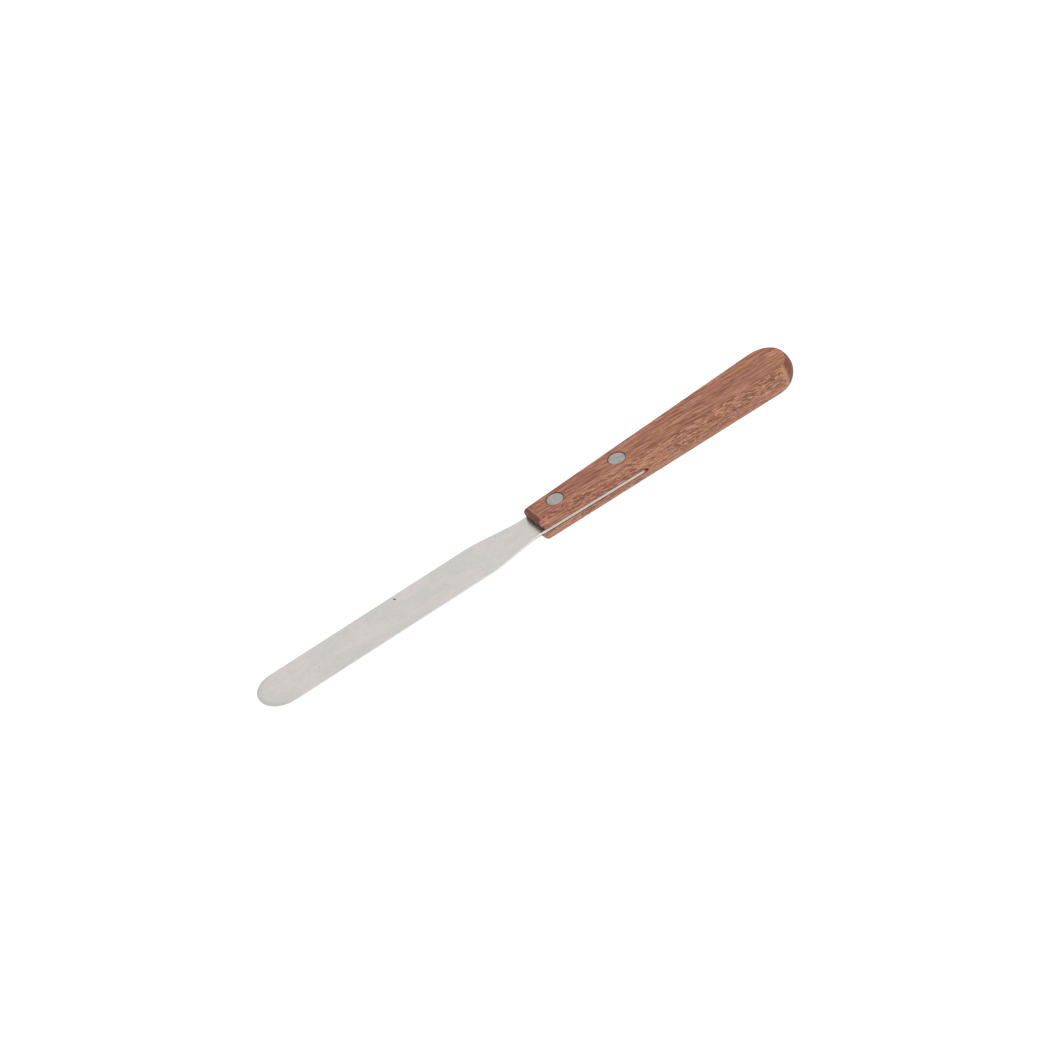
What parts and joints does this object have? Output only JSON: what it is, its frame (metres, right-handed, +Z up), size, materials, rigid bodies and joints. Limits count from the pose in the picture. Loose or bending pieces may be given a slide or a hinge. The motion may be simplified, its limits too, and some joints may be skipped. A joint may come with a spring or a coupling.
{
  "type": "palette knife",
  "caption": "Slim round-tipped steel palette knife with a tapered, barrel-sided wooden handle held on the tang by flush cutlery rivets.",
  "frame": {"origin": "under the middle of the knife's whole length, centred across it, on the surface that the handle's flat underside rests on", "axes": "+X along the knife from the blade's tip towards the butt, +Y across the knife, +Z up through the handle's thickness"},
  "size_m": [0.2006, 0.0168, 0.0092],
  "materials": {
    "blade_steel": "satin spring steel",
    "handle_wood": "oiled reddish-brown hardwood",
    "rivet_metal": "dull grey"
  },
  "bodies": {
    "root": {"blade": "blade_steel", "handle": "handle_wood", "front_rivet_stud": "rivet_metal", "front_rivet_socket": "rivet_metal", "rear_rivet_stud": "rivet_metal", "rear_rivet_socket": "rivet_metal"}
  },
  "joints": []
}
